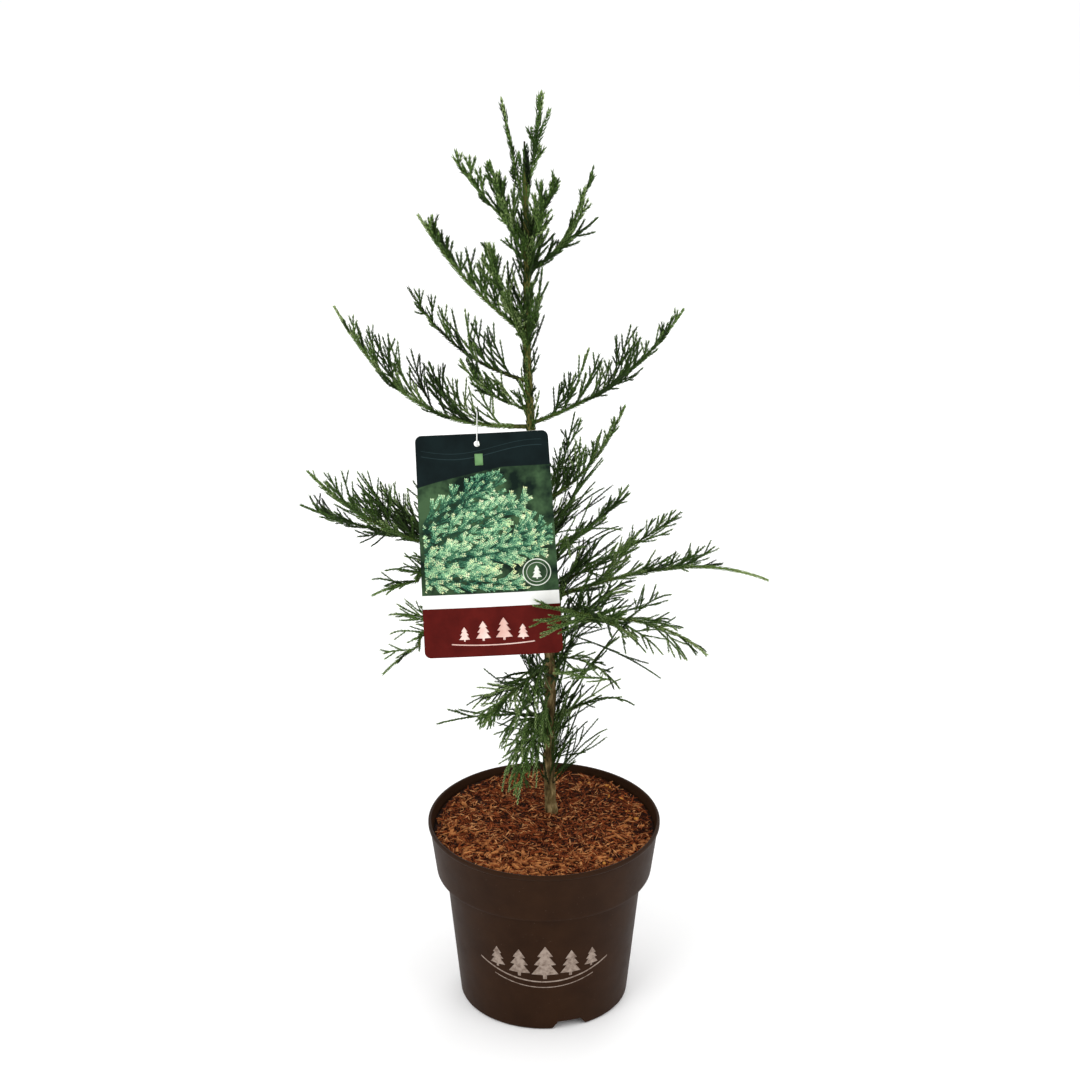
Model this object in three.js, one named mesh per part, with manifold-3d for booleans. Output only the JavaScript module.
// Young giant sequoia in a nursery pot.
// Lengths are millimetres and angles degrees. +Z is up, and the tree is looked at from -Y.
// The origin is the middle of the pot's flat underside.

import * as THREE from 'three';
import { mergeVertices } from 'three/addons/utils/BufferGeometryUtils.js';
import Module from 'manifold-3d';

const wasm = await Module();
wasm.setup();

const GAP = 0.3; // clearance between neighbouring solids

// ---------------------------------------------------------------- driving sizes

const POT = {
  height: 214,
  rimRadius: 126.5,
  lipHeight: 6,
  collarTopRadius: 124.7,
  collarFootRadius: 117.5,
  collarFoot: 154,
  bodyTopRadius: 107.5,
  bodyFootRadius: 92.5,
  footRounding: 4,
  wall: 2,
  edge: 1,
  segments: 36,
};

// Drain notches under the foot, each a moulded recess with a roof and walls of its own.
const NOTCH = {
  count: 3,
  azimuth: -72.5,
  footWidth: 42,
  topWidth: 26,
  height: 10.5,
  reach: 22,
  wall: 2,
};

const MULCH = {
  edgeHeight: 199.5,
  crownHeight: 203.5,
  backRise: 7.5,
  unevenness: 1.6,
  rings: 5,
  shoulder: 3,
  seatRadius: 11,
  seatHeight: 203,
  seatDepth: 20,
  seatSides: 12,
};

const STEM = { sides: 10, rings: 16, knobbly: 0.06 };

// The stem's centre line and radius, from the flat cut at the mulch to the dead tip.
const TRUNK = [
  { height: MULCH.seatHeight + GAP, x: 9, y: 30, radius: 7.4 },
  { height: 218, x: 7, y: 30, radius: 6.4 },
  { height: 270, x: 5, y: 30, radius: 6.1 },
  { height: 380, x: 7, y: 30, radius: 5.9 },
  { height: 522, x: -3, y: 30, radius: 5.1 },
  { height: 662, x: -14, y: 30, radius: 4.4 },
  { height: 749, x: -18, y: 30, radius: 4.0 },
  { height: 857, x: -18, y: 30, radius: 3.2 },
  { height: 925, x: -19, y: 30, radius: 2.4 },
  { height: 971, x: -20, y: 30, radius: 0.9 },
];

// How a bough carries its foliage. Sizes are shares of the bough's own length.
const HABITS = {
  whip: { rise: 0.1, drop: 0.09, breadth: 0.1, lean: 0.3 },
  rising: { rise: 0.19, drop: 0.08, breadth: 0.09, lean: 0.7 },
  level: { rise: 0.12, drop: 0.08, breadth: 0.1, lean: 0.6 },
  drooping: { rise: 0.08, drop: 0.12, breadth: 0.11, lean: 0.4 },
};

// height: where the bough leaves the trunk. azimuth: its bearing, 0 along +X, 90 along +Y.
// reach: how far out its tip is. climb and curl: the straight and the late part of its rise.
// bare: how much of its reach shows as a bare limb before the foliage.
const BOUGHS = [
  { name: 'leader', height: 905, azimuth: 345, reach: 18, climb: 112, curl: 4, bare: 0, habit: 'whip' },
  { name: 'top_left', height: 892, azimuth: 182, reach: 24, climb: 118, curl: 4, bare: 0, habit: 'whip' },
  { name: 'crown_left', height: 864, azimuth: 150, reach: 86, climb: 67, curl: 10, bare: 0, habit: 'rising' },
  { name: 'crown_front', height: 841, azimuth: 215, reach: 44, climb: 105, curl: 12, bare: 0, habit: 'whip' },
  { name: 'crown_right', height: 833, azimuth: 35, reach: 83, climb: 24, curl: 72, bare: 0, habit: 'whip' },
  { name: 'crown_inner', height: 844, azimuth: 320, reach: 38, climb: 105, curl: -10, bare: 0, habit: 'whip' },
  { name: 'crown_back', height: 815, azimuth: 72, reach: 45, climb: 85, curl: 5, bare: 0, habit: 'whip' },
  { name: 'high_left', height: 765, azimuth: 200, reach: 114, climb: 108, curl: 33, bare: 24, habit: 'rising' },
  { name: 'high_inner', height: 749, azimuth: 230, reach: 63, climb: 120, curl: 12, bare: 0, habit: 'whip' },
  { name: 'high_front', height: 742, azimuth: 280, reach: 30, climb: 85, curl: 5, bare: 0, habit: 'whip' },
  { name: 'high_back', height: 763, azimuth: 75, reach: 62, climb: 6, curl: 48, bare: 0, habit: 'whip' },
  { name: 'fork_left', height: 713, azimuth: 148, reach: 148, climb: 15, curl: 59, bare: 30, habit: 'rising' },
  { name: 'inner_left', height: 682, azimuth: 225, reach: 99, climb: 50, curl: 31, bare: 0, habit: 'level' },
  { name: 'great_left', height: 663, azimuth: 165, reach: 211, climb: -20, curl: 131, bare: 46, habit: 'rising' },
  { name: 'great_right', height: 666, azimuth: 20, reach: 169, climb: 43, curl: 61, bare: 28, habit: 'rising' },
  { name: 'rising_right', height: 574, azimuth: 345, reach: 93, climb: 65, curl: 56, bare: 28, habit: 'rising' },
  { name: 'rising_back', height: 545, azimuth: 68, reach: 100, climb: 60, curl: 36, bare: 0, habit: 'level' },
  { name: 'upper_back', height: 548, azimuth: 118, reach: 140, climb: 30, curl: 20, bare: 32, habit: 'level' },
  { name: 'wide_left', height: 516, azimuth: 188, reach: 244, climb: 20, curl: 90, bare: 62, habit: 'level' },
  { name: 'level_left', height: 528, azimuth: 162, reach: 272, climb: -30, curl: 38, bare: 58, habit: 'level' },
  { name: 'mid_right', height: 510, azimuth: 35, reach: 112, climb: 30, curl: 27, bare: 30, habit: 'level' },
  { name: 'mid_back', height: 500, azimuth: 88, reach: 150, climb: 35, curl: 5, bare: 34, habit: 'level' },
  { name: 'level_right', height: 475, azimuth: 12, reach: 148, climb: 60, curl: 16, bare: 36, habit: 'level' },
  { name: 'long_right', height: 463, azimuth: 345, reach: 239, climb: 115, curl: -62, bare: 46, habit: 'level' },
  { name: 'low_left', height: 463, azimuth: 200, reach: 191, climb: 90, curl: -53, bare: 52, habit: 'drooping' },
  { name: 'front_right', height: 452, azimuth: 303, reach: 165, climb: 60, curl: -25, bare: 40, habit: 'level' },
  { name: 'low_right', height: 433, azimuth: 330, reach: 191, climb: 75, curl: -62, bare: 48, habit: 'drooping' },
  { name: 'low_back', height: 430, azimuth: 132, reach: 160, climb: 50, curl: -30, bare: 36, habit: 'level' },
  { name: 'droop_left', height: 416, azimuth: 205, reach: 191, climb: 80, curl: -80, bare: 54, habit: 'drooping' },
  { name: 'droop_back', height: 395, azimuth: 55, reach: 140, climb: 60, curl: -30, bare: 0, habit: 'drooping' },
  { name: 'droop_front', height: 395, azimuth: 320, reach: 96, climb: 30, curl: -36, bare: 0, habit: 'drooping' },
  { name: 'sweep_front', height: 385, azimuth: 238, reach: 134, climb: 10, curl: -24, bare: 26, habit: 'drooping' },
  { name: 'base_back', height: 345, azimuth: 112, reach: 110, climb: 50, curl: -20, bare: 0, habit: 'level' },
  { name: 'base_rise', height: 330, azimuth: 25, reach: 86, climb: 75, curl: 10, bare: 0, habit: 'whip' },
  { name: 'base_front', height: 335, azimuth: 252, reach: 112, climb: 0, curl: -60, bare: 0, habit: 'drooping' },
  { name: 'base_left', height: 325, azimuth: 214, reach: 144, climb: 45, curl: -14, bare: 0, habit: 'drooping' },
  { name: 'base_right', height: 316, azimuth: 340, reach: 96, climb: 80, curl: -42, bare: 0, habit: 'level' },
];

// A limb's radius is a base plus a share of its bough's length, and narrows to a share of that.
const LIMB = { sides: 6, rings: 5, radius: 0.9, radiusPerLength: 0.006, endShare: 0.8 };

// fullness and bulge shape the spindle; notchShare draws in every other ring on top.
const FOLIAGE = {
  sides: 8,
  ringPitch: 28,
  fewestRings: 5,
  mostRings: 8,
  fullness: 0.8,
  bulge: 0.8,
  slimmest: 0.16,
  uneven: 0.22,
  notchShare: 0.74,
};

// The hang tag leans on the foliage: its top edge is further back than its foot.
const TAG = {
  topWidth: 138,
  footWidth: 147,
  height: 245,
  thickness: 0.9,
  corner: 7,
  middleX: -53,
  topY: 16,
  footY: -14,
  footZ: 419,
  turn: 2.9,
  holeDrop: 11,
  holeRadius: 3.2,
  holeX: -5,
  clearFront: 70,
};

// A thin tie that runs through the tag's hole and round a bough.
const LOOP = {
  bough: 'great_left',
  thickness: 0.6,
  halfWidth: 13,
  above: 14,
  below: 0.4,
  steps: 20,
  sides: 6,
};

// Boughs that hang over the front of the tag and are only cut round the card itself.
const OVER_TAG = ['front_right', 'low_right', 'droop_front'];

const LOOKS = {
  pot: { color: 0x3a2a20, roughness: 0.55 },
  mulch: { color: 0x7a4426, roughness: 0.95 },
  bark: { color: 0x6b5a36, roughness: 0.9 },
  limb: { color: 0x5b6b34, roughness: 0.85 },
  foliage: { color: 0x39602c, roughness: 0.85 },
  tag: { color: 0x1d3a2a, roughness: 0.4 },
  loop: { color: 0xe8e8e4, roughness: 0.5 },
};

// ---------------------------------------------------------------- small helpers

const RIGHT = new THREE.Vector3(1, 0, 0);
const AWAY = new THREE.Vector3(0, 1, 0);
const UP = new THREE.Vector3(0, 0, 1);
const STEP = 0.01; // share of a bough's reach over which its direction is taken

const radians = THREE.MathUtils.degToRad;

/** Repeatable number from 0 to 1 for a key. */
function chance(key) {
  const wave = Math.sin(key * 12.9898 + 78.233) * 43758.5453;
  return wave - Math.floor(wave);
}

function compass(azimuth) {
  return new THREE.Vector3(Math.cos(radians(azimuth)), Math.sin(radians(azimuth)), 0);
}

/** The stem's centre and radius at a height, between the rows of TRUNK. */
function trunkAt(height) {
  let upper = TRUNK.findIndex((row) => row.height >= height);
  if (upper < 0) upper = TRUNK.length - 1;
  upper = Math.max(upper, 1);
  const from = TRUNK[upper - 1];
  const to = TRUNK[upper];
  const share = THREE.MathUtils.clamp((height - from.height) / (to.height - from.height), 0, 1);
  const mix = (key) => from[key] + (to[key] - from[key]) * share;
  return { centre: new THREE.Vector3(mix('x'), mix('y'), height), radius: mix('radius') };
}

// ---------------------------------------------------------------- solids

/** Wraps plain position and index lists as a manifold solid. */
function solidFromLists(positions, triangles) {
  const mesh = new wasm.Mesh({
    numProp: 3,
    vertProperties: new Float32Array(positions),
    triVerts: new Uint32Array(triangles),
  });
  return new wasm.Manifold(mesh);
}

/** Turns a closed three.js geometry into a manifold solid. */
function solidFromGeometry(geometry) {
  const bare = geometry.clone();
  bare.deleteAttribute('normal');
  bare.deleteAttribute('uv');
  const merged = mergeVertices(bare, 1e-4);
  return solidFromLists(merged.attributes.position.array, merged.index.array);
}

/** Adds the triangles between two neighbouring rings that start at two vertex numbers. */
function addBand(triangles, lower, upper, sides) {
  for (let side = 0; side < sides; side += 1) {
    const next = (side + 1) % sides;
    triangles.push(lower + side, lower + next, upper + next);
    triangles.push(lower + side, upper + next, upper + side);
  }
}

/** Closed skin over rings of points, each counter-clockwise about the way of travel. */
function skin(rings, looped = false) {
  const sides = rings[0].length;
  const positions = rings.flat().flatMap((point) => point.toArray());
  const triangles = [];
  const bands = looped ? rings.length : rings.length - 1;
  for (let ring = 0; ring < bands; ring += 1) {
    addBand(triangles, ring * sides, ((ring + 1) % rings.length) * sides, sides);
  }
  if (!looped) addEndCaps(positions, triangles, rings);
  return solidFromLists(positions, triangles);
}

/** Closes both ends of a skin with a fan about the middle of the end ring. */
function addEndCaps(positions, triangles, rings) {
  const sides = rings[0].length;
  for (const [ring, flipped] of [[0, true], [rings.length - 1, false]]) {
    const hub = positions.length / 3;
    const middle = new THREE.Vector3();
    rings[ring].forEach((point) => middle.addScaledVector(point, 1 / sides));
    positions.push(...middle.toArray());
    for (let side = 0; side < sides; side += 1) {
      const here = ring * sides + side;
      const next = ring * sides + ((side + 1) % sides);
      triangles.push(hub, flipped ? next : here, flipped ? here : next);
    }
  }
}

/** Ring of equal sides about a centre, on the plane of two axes. */
function roundRing(centre, across, over, radius, sides) {
  const ring = [];
  for (let side = 0; side < sides; side += 1) {
    const angle = (2 * Math.PI * side) / sides;
    ring.push(centre.clone()
      .addScaledVector(across, radius * Math.cos(angle))
      .addScaledVector(over, radius * Math.sin(angle)));
  }
  return ring;
}

/** The largest single piece of a solid. */
function largestPiece(solid) {
  const pieces = solid.decompose();
  return pieces.reduce((best, piece) => (piece.volume() > best.volume() ? piece : best));
}

// ---------------------------------------------------------------- pot and mulch

/** Outside of the pot from the middle of its underside to the top of its rim. */
function potOutside() {
  const { height, rimRadius, lipHeight, edge, footRounding: round } = POT;
  const points = [[0, 0]];
  for (let step = 0; step <= 3; step += 1) {
    const angle = (Math.PI / 2) * (step / 3);
    points.push([
      POT.bodyFootRadius - round + round * Math.sin(angle),
      round - round * Math.cos(angle),
    ]);
  }
  points.push([POT.bodyTopRadius, POT.collarFoot - edge]);
  points.push([POT.collarFootRadius - edge, POT.collarFoot - edge]);
  points.push([POT.collarFootRadius, POT.collarFoot]);
  points.push([POT.collarTopRadius, height - lipHeight]);
  points.push([rimRadius, height - lipHeight + edge]);
  points.push([rimRadius, height - edge]);
  points.push([rimRadius - edge, height]);
  return points;
}

/** Inside of the pot from its rim to the middle of its floor, stood off by a gap for the mulch. */
function potInside(standOff = 0) {
  const inset = POT.wall + standOff;
  return [
    [POT.collarTopRadius - inset, POT.height],
    [POT.collarFootRadius - inset, POT.collarFoot + POT.edge + inset],
    [POT.bodyTopRadius - inset, POT.collarFoot - POT.edge + inset],
    [POT.bodyFootRadius - inset, POT.footRounding + inset],
    [POT.bodyFootRadius - POT.footRounding - standOff, inset],
    [0, inset],
  ];
}

function lathe(profile) {
  const points = profile.map(([radius, height]) => new THREE.Vector2(radius, height));
  const geometry = new THREE.LatheGeometry(points, POT.segments);
  geometry.rotateX(Math.PI / 2);
  return solidFromGeometry(geometry);
}

/** The space of every drain notch, widest at the floor, grown by a margin. */
function notchSolids(grow = 0) {
  const foot = NOTCH.footWidth / 2 + grow;
  const top = NOTCH.topWidth / 2 + grow;
  const outline = new THREE.Shape([
    new THREE.Vector2(-foot, -POT.wall),
    new THREE.Vector2(foot, -POT.wall),
    new THREE.Vector2(top, NOTCH.height + grow),
    new THREE.Vector2(-top, NOTCH.height + grow),
  ]);
  const depth = NOTCH.reach + grow + POT.wall;
  return Array.from({ length: NOTCH.count }, (_, index) => {
    const geometry = new THREE.ExtrudeGeometry(outline, { depth, bevelEnabled: false });
    geometry.rotateX(Math.PI / 2);
    geometry.translate(0, depth - POT.bodyFootRadius - POT.wall, 0);
    geometry.rotateZ(radians(90 + NOTCH.azimuth + (360 * index) / NOTCH.count));
    return solidFromGeometry(geometry);
  });
}

function potSolid() {
  const body = lathe([...potOutside(), [0, POT.height]]);
  let pot = lathe([...potOutside(), ...potInside()]);
  for (const housing of notchSolids(NOTCH.wall)) pot = pot.add(housing.intersect(body));
  for (const notch of notchSolids()) pot = pot.subtract(notch);
  return pot;
}

/** How much higher the fill lies towards the back of the pot, at a bearing and share of radius. */
function backRiseAt(bearing, share) {
  return MULCH.backRise * Math.max(0, Math.sin(radians(bearing))) * share;
}

/** Height of the mulch at a radius and bearing step: a low mound with an uneven skin. */
function mulchHeight(radius, edgeRadius, step) {
  const share = radius / edgeRadius;
  const mound = MULCH.crownHeight + (MULCH.edgeHeight - MULCH.crownHeight) * share ** 2;
  const rise = backRiseAt((360 * step) / POT.segments, share);
  return mound + rise + MULCH.unevenness * (chance(step + radius) * 2 - 1);
}

/** Radius of the pot's inner wall, stood off by the gap, at a height in the collar. */
function collarRadiusAt(height) {
  const [[topRadius, top], [footRadius, foot]] = potInside(GAP);
  return footRadius + ((topRadius - footRadius) * (height - foot)) / (top - foot);
}

/** Flat-bottomed recess in which the stem's cut foot stands. */
function seatSolid() {
  const { seatRadius, seatDepth, seatSides, seatHeight } = MULCH;
  const seat = new THREE.CylinderGeometry(seatRadius, seatRadius, seatDepth, seatSides);
  seat.rotateX(Math.PI / 2);
  seat.translate(TRUNK[0].x, TRUNK[0].y, seatHeight + seatDepth / 2);
  return solidFromGeometry(seat);
}

/** The fill of the pot: its sides follow the inner wall and its top is an uneven mound. */
function mulchSolid() {
  const edgeRadius = collarRadiusAt(MULCH.edgeHeight);
  const profile = potInside(GAP).slice(1, -1).reverse();
  const sides = POT.segments;
  const ringAt = (radius, heightOf) => Array.from({ length: sides }, (_, step) => {
    const spot = compass((360 * step) / sides).multiplyScalar(radius);
    return spot.setZ(heightOf(step));
  });
  const rings = profile.map(([radius, height]) => ringAt(radius, () => height));
  rings.push(Array.from({ length: sides }, (_, step) => {
    const bearing = (360 * step) / sides;
    const height = MULCH.edgeHeight + backRiseAt(bearing, 1);
    return compass(bearing).multiplyScalar(collarRadiusAt(height)).setZ(height);
  }));
  for (let ring = MULCH.rings; ring >= 1; ring -= 1) {
    const radius = ((edgeRadius - MULCH.shoulder) * ring) / MULCH.rings;
    rings.push(ringAt(radius, (step) => mulchHeight(radius, edgeRadius, step)));
  }
  const hollows = [seatSolid(), ...notchSolids(NOTCH.wall + GAP)];
  return hollows.reduce((fill, hollow) => fill.subtract(hollow), skin(rings));
}

// ---------------------------------------------------------------- trunk and boughs

/** The stem, flared at its foot and tapering to its dead tip. */
function trunkSolid(grow = 0) {
  const foot = TRUNK[0].height;
  const tip = TRUNK[TRUNK.length - 1].height;
  const heights = [foot, TRUNK[1].height];
  for (let ring = 1; ring <= STEM.rings; ring += 1) {
    heights.push(TRUNK[1].height + ((tip - TRUNK[1].height) * ring) / STEM.rings);
  }
  const rings = heights.map((height, index) => {
    const { centre, radius } = trunkAt(height);
    if (index === 0) centre.z -= grow;
    if (index === heights.length - 1) centre.z += grow;
    const uneven = radius * (1 + STEM.knobbly * (chance(index) - 0.5));
    return roundRing(centre, RIGHT, AWAY, uneven + grow, STEM.sides);
  });
  return skin(rings);
}

function centreOfTrunk(bough) {
  return trunkAt(bough.height).centre;
}

/** Point on a bough's centre line; share runs from 0 in the trunk to 1 at the tip. */
function boughPoint(bough, share) {
  return centreOfTrunk(bough)
    .addScaledVector(compass(bough.azimuth), bough.reach * share)
    .addScaledVector(UP, bough.climb * share + bough.curl * share ** 3);
}

/** Directions along, across and over a bough at a share of its reach. */
function boughFrame(bough, share) {
  const along = boughPoint(bough, share + STEP).sub(boughPoint(bough, share - STEP)).normalize();
  const across = compass(bough.azimuth + 90);
  const over = along.clone().cross(across).normalize();
  return { along, across, over };
}

function boughLength(bough) {
  return Math.hypot(bough.reach, bough.climb + bough.curl);
}

/** The bare limb from the trunk to where the foliage takes over. */
function limbSolid(bough, grow = 0) {
  const end = bough.bare / bough.reach;
  const thick = LIMB.radius + LIMB.radiusPerLength * boughLength(bough);
  const rings = [];
  for (let ring = 0; ring < LIMB.rings; ring += 1) {
    const run = ring / (LIMB.rings - 1);
    const { along, across, over } = boughFrame(bough, end * run);
    const centre = boughPoint(bough, end * run);
    if (run === 1) centre.addScaledVector(along, grow);
    const radius = thick * (1 + (LIMB.endShare - 1) * run) + grow;
    rings.push(roundRing(centre, across, over, radius, LIMB.sides));
  }
  return skin(rings);
}

/** How far the foliage stands out at a share of its own length: a spindle that ends in a point. */
function swell(share) {
  const spindle = Math.sin(Math.PI * share ** FOLIAGE.bulge);
  return Math.max(FOLIAGE.slimmest, Math.max(0, spindle) ** FOLIAGE.fullness);
}

/** One ring of a foliage mass, uneven, with every other ring drawn in on top. */
function foliageRing(bough, key, index, share, span, grow) {
  const habit = HABITS[bough.habit];
  const { along, across, over } = boughFrame(bough, span);
  const centre = boughPoint(bough, span);
  const ring = [];
  for (let side = 0; side < FOLIAGE.sides; side += 1) {
    const angle = (2 * Math.PI * side) / FOLIAGE.sides;
    const raised = side > 0 && side < FOLIAGE.sides / 2;
    const uneven = 1 + FOLIAGE.uneven * (chance(key * 97 + index * 11 + side) * 2 - 1);
    const drawnIn = raised && index % 2 === 0 ? FOLIAGE.notchShare : 1;
    const size = boughLength(bough) * swell(share) * uneven * drawnIn;
    const rise = (raised ? habit.rise : habit.drop) * Math.sin(angle) * size;
    const offset = across.clone().multiplyScalar(habit.breadth * Math.cos(angle) * size)
      .addScaledVector(over, rise);
    offset.setLength(offset.length() + grow);
    offset.addScaledVector(along, Math.max(0, rise) * habit.lean);
    ring.push(centre.clone().add(offset));
  }
  return ring;
}

/** The mass of scale-leaved sprays that a bough carries, as one uneven solid. */
function foliageSolid(bough, key, grow = 0) {
  const wanted = Math.round(boughLength(bough) / FOLIAGE.ringPitch);
  const bands = THREE.MathUtils.clamp(wanted, FOLIAGE.fewestRings, FOLIAGE.mostRings);
  const start = (bough.bare > 0 ? bough.bare + GAP : 0) / bough.reach;
  const growShare = grow / bough.reach;
  const rings = [];
  for (let index = 0; index <= bands; index += 1) {
    const share = index / bands;
    let span = start + (1 - start) * share;
    if (index === 0 && bough.bare > 0) span -= growShare;
    if (index === bands) span += growShare;
    rings.push(foliageRing(bough, key, index, share, span, grow));
  }
  return skin(rings);
}

// ---------------------------------------------------------------- hang tag

/** Moves a shape drawn flat, with its foot on the X axis, to where the tag hangs. */
function tagPlacement() {
  const lean = Math.atan2(TAG.topY - TAG.footY, TAG.height);
  const place = new THREE.Matrix4().makeTranslation(TAG.middleX, TAG.footY, TAG.footZ);
  place.multiply(new THREE.Matrix4().makeRotationX(Math.PI / 2 - lean));
  place.multiply(new THREE.Matrix4().makeRotationZ(radians(TAG.turn)));
  return place;
}

/** Outline of the card: a slight trapezium with rounded corners. */
function tagOutline(grow = 0) {
  const top = TAG.topWidth / 2 + grow;
  const foot = TAG.footWidth / 2 + grow;
  const high = TAG.height + grow;
  const round = TAG.corner;
  const shape = new THREE.Shape();
  shape.moveTo(-foot + round, -grow);
  shape.lineTo(foot - round, -grow);
  shape.quadraticCurveTo(foot, -grow, foot, round);
  shape.lineTo(top, high - round);
  shape.quadraticCurveTo(top, high, top - round, high);
  shape.lineTo(-top + round, high);
  shape.quadraticCurveTo(-top, high, -top, high - round);
  shape.lineTo(-foot, round);
  shape.quadraticCurveTo(-foot, -grow, -foot + round, -grow);
  return shape;
}

function tagSolid() {
  const outline = tagOutline();
  const hole = new THREE.Path();
  hole.absarc(TAG.holeX, TAG.height - TAG.holeDrop, TAG.holeRadius, 0, 2 * Math.PI, true);
  outline.holes.push(hole);
  const options = { depth: TAG.thickness, bevelEnabled: false, curveSegments: 4 };
  const geometry = new THREE.ExtrudeGeometry(outline, options);
  geometry.applyMatrix4(tagPlacement());
  return solidFromGeometry(geometry);
}

/** Space kept free of foliage: the card, and for what hangs behind it also all before it. */
function tagClearance(front) {
  const options = { depth: TAG.thickness + GAP + front, bevelEnabled: false, curveSegments: 2 };
  const geometry = new THREE.ExtrudeGeometry(tagOutline(GAP), options);
  geometry.translate(0, 0, -GAP);
  geometry.applyMatrix4(tagPlacement());
  return solidFromGeometry(geometry);
}

/** The thread ring from the tag's hole up and round the great left bough. */
function loopSolid(grow = 0) {
  const hole = new THREE.Vector3(TAG.holeX, TAG.height - TAG.holeDrop, TAG.thickness / 2)
    .applyMatrix4(tagPlacement());
  const bough = BOUGHS.find((row) => row.name === LOOP.bough);
  const top = boughPoint(bough, (centreOfTrunk(bough).x - hole.x) / bough.reach);
  top.setX(hole.x).setZ(top.z + LOOP.above);
  const low = hole.clone().setZ(hole.z - LOOP.below);
  const rise = top.clone().sub(low);
  const middle = low.clone().addScaledVector(rise, 0.5);
  const half = rise.length() / 2;
  const long = rise.clone().normalize();
  const wide = long.clone().cross(RIGHT);
  const rings = [];
  for (let step = 0; step < LOOP.steps; step += 1) {
    const angle = (2 * Math.PI * step) / LOOP.steps;
    const outward = long.clone().multiplyScalar(Math.cos(angle) * half)
      .addScaledVector(wide, Math.sin(angle) * LOOP.halfWidth);
    const centre = middle.clone().add(outward);
    rings.push(roundRing(centre, outward.normalize(), RIGHT, LOOP.thickness + grow, LOOP.sides));
  }
  return skin(rings, true);
}

// ---------------------------------------------------------------- assembly

function materialOf(look) {
  return new THREE.MeshStandardMaterial({ ...LOOKS[look], metalness: 0 });
}

function meshOf(name, solid, look) {
  const { vertProperties, triVerts, numProp } = solid.getMesh();
  const positions = [];
  for (let vertex = 0; vertex < vertProperties.length; vertex += numProp) {
    positions.push(vertProperties[vertex], vertProperties[vertex + 1], vertProperties[vertex + 2]);
  }
  const geometry = new THREE.BufferGeometry();
  geometry.setAttribute('position', new THREE.Float32BufferAttribute(positions, 3));
  geometry.setIndex([...triVerts]);
  geometry.computeVertexNormals();
  const mesh = new THREE.Mesh(geometry, materialOf(look));
  mesh.name = name;
  return mesh;
}

/** Bare limbs, each cut back to the trunk's surface. */
function limbMeshes(trunkRoom) {
  return BOUGHS.filter((bough) => bough.bare > 0).map((bough) => {
    const limb = largestPiece(limbSolid(bough).subtract(trunkRoom));
    return meshOf(`bough_${bough.name}`, limb, 'limb');
  });
}

/** Foliage masses, cut round the stem, the limbs, the tag and the masses before them. */
function foliageMeshes(woodRoom, tagRoom, cardRoom) {
  let taken = woodRoom;
  return BOUGHS.map((bough, key) => {
    const tag = OVER_TAG.includes(bough.name) ? cardRoom : tagRoom;
    const mass = largestPiece(foliageSolid(bough, key).subtract(taken).subtract(tag));
    taken = taken.add(foliageSolid(bough, key, GAP));
    return meshOf(`foliage_${bough.name}`, mass, 'foliage');
  });
}

function buildTree() {
  const tree = new THREE.Group();
  tree.name = 'potted_conifer';
  const trunkRoom = trunkSolid(GAP);
  const limbRooms = BOUGHS.filter((bough) => bough.bare > 0).map((bough) => limbSolid(bough, GAP));
  const woodRoom = limbRooms.reduce((all, limb) => all.add(limb), trunkRoom).add(loopSolid(GAP));
  tree.add(
    meshOf('pot', potSolid(), 'pot'),
    meshOf('bark_mulch', mulchSolid(), 'mulch'),
    meshOf('trunk', trunkSolid(), 'bark'),
    ...limbMeshes(trunkRoom),
    ...foliageMeshes(woodRoom, tagClearance(TAG.clearFront), tagClearance(GAP)),
    meshOf('hang_tag', tagSolid(), 'tag'),
    meshOf('tag_loop', loopSolid(), 'loop'),
  );
  return tree;
}

export default buildTree();
